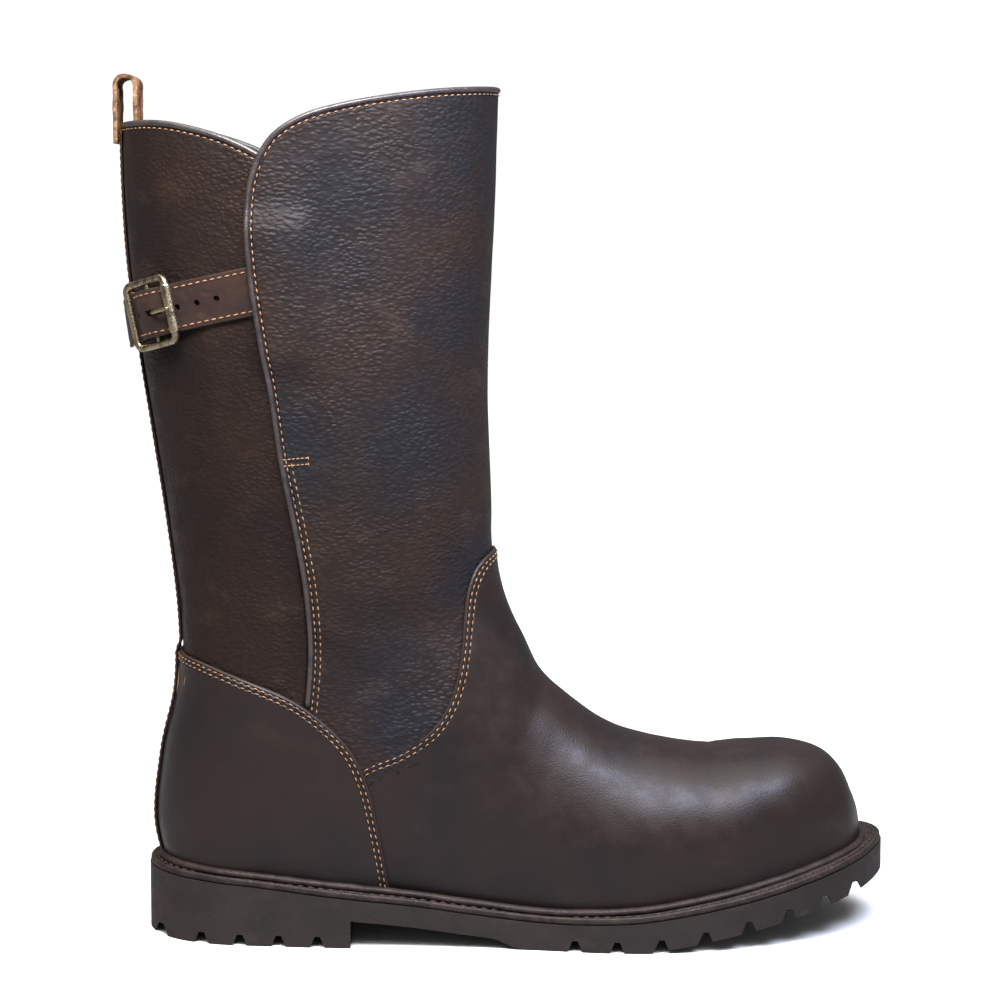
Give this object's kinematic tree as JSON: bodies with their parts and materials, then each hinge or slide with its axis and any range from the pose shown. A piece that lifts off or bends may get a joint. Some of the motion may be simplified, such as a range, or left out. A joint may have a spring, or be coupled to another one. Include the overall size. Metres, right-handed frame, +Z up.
{
  "type": "riding boot",
  "caption": "Knee-height pull-on riding boot for the right foot, with lugged sole, lapped shaft panels, side strap with roller buckle and back pull loop.",
  "frame": {"origin": "on the ground, under the middle of the heel block", "axes": "+X to the toe, +Z up the shaft, the outer side with the buckle at -Y"},
  "size_m": [0.323, 0.1112, 0.3577],
  "materials": {
    "grain_leather": "pebbled, waxed",
    "smooth_leather": "smooth, waxed",
    "raw_leather": "raw, suede-like",
    "lining_leather": "matt",
    "gusset_fabric": "ribbed elastic",
    "sole_rubber": "matt",
    "welt_leather": "waxed edge",
    "piping": "satin",
    "board": "fibre board",
    "cork": "cork",
    "shank_steel": "brushed",
    "antique_brass": "antique"
  },
  "bodies": {
    "boot": {"outsole": "sole_rubber", "welt": "welt_leather", "cork_filler": "cork", "shank": "shank_steel", "insole_board": "board", "footbed": "lining_leather", "toe_puff": "board", "heel_stiffener": "board", "vamp_lining": "lining_leather", "shaft_lining": "lining_leather", "vamp": "smooth_leather", "heel_counter": "smooth_leather", "shaft_front_panel": "grain_leather", "shaft_back_panel": "grain_leather", "gusset": "gusset_fabric", "backstay": "smooth_leather", "piping_front": "piping", "piping_back": "piping", "pull_loop": "raw_leather", "strap": "smooth_leather", "buckle_tab": "raw_leather", "buckle_frame": "antique_brass"},
    "prong": {"buckle_prong": "antique_brass"},
    "roller": {"buckle_roller": "antique_brass"}
  },
  "joints": [
    {"name": "prong_hinge", "type": "hinge", "parent": "boot", "child": "prong", "pos_m": [-0.0359, -0.03267, 0.25924], "axis": [0.2182, -0.0652, -0.9737], "range_deg": [0, 14]},
    {"name": "roller_spin", "type": "hinge", "parent": "boot", "child": "roller", "pos_m": [-0.02817, -0.04162, 0.26157], "axis": [-0.2182, 0.0652, 0.9737], "continuous": true}
  ]
}
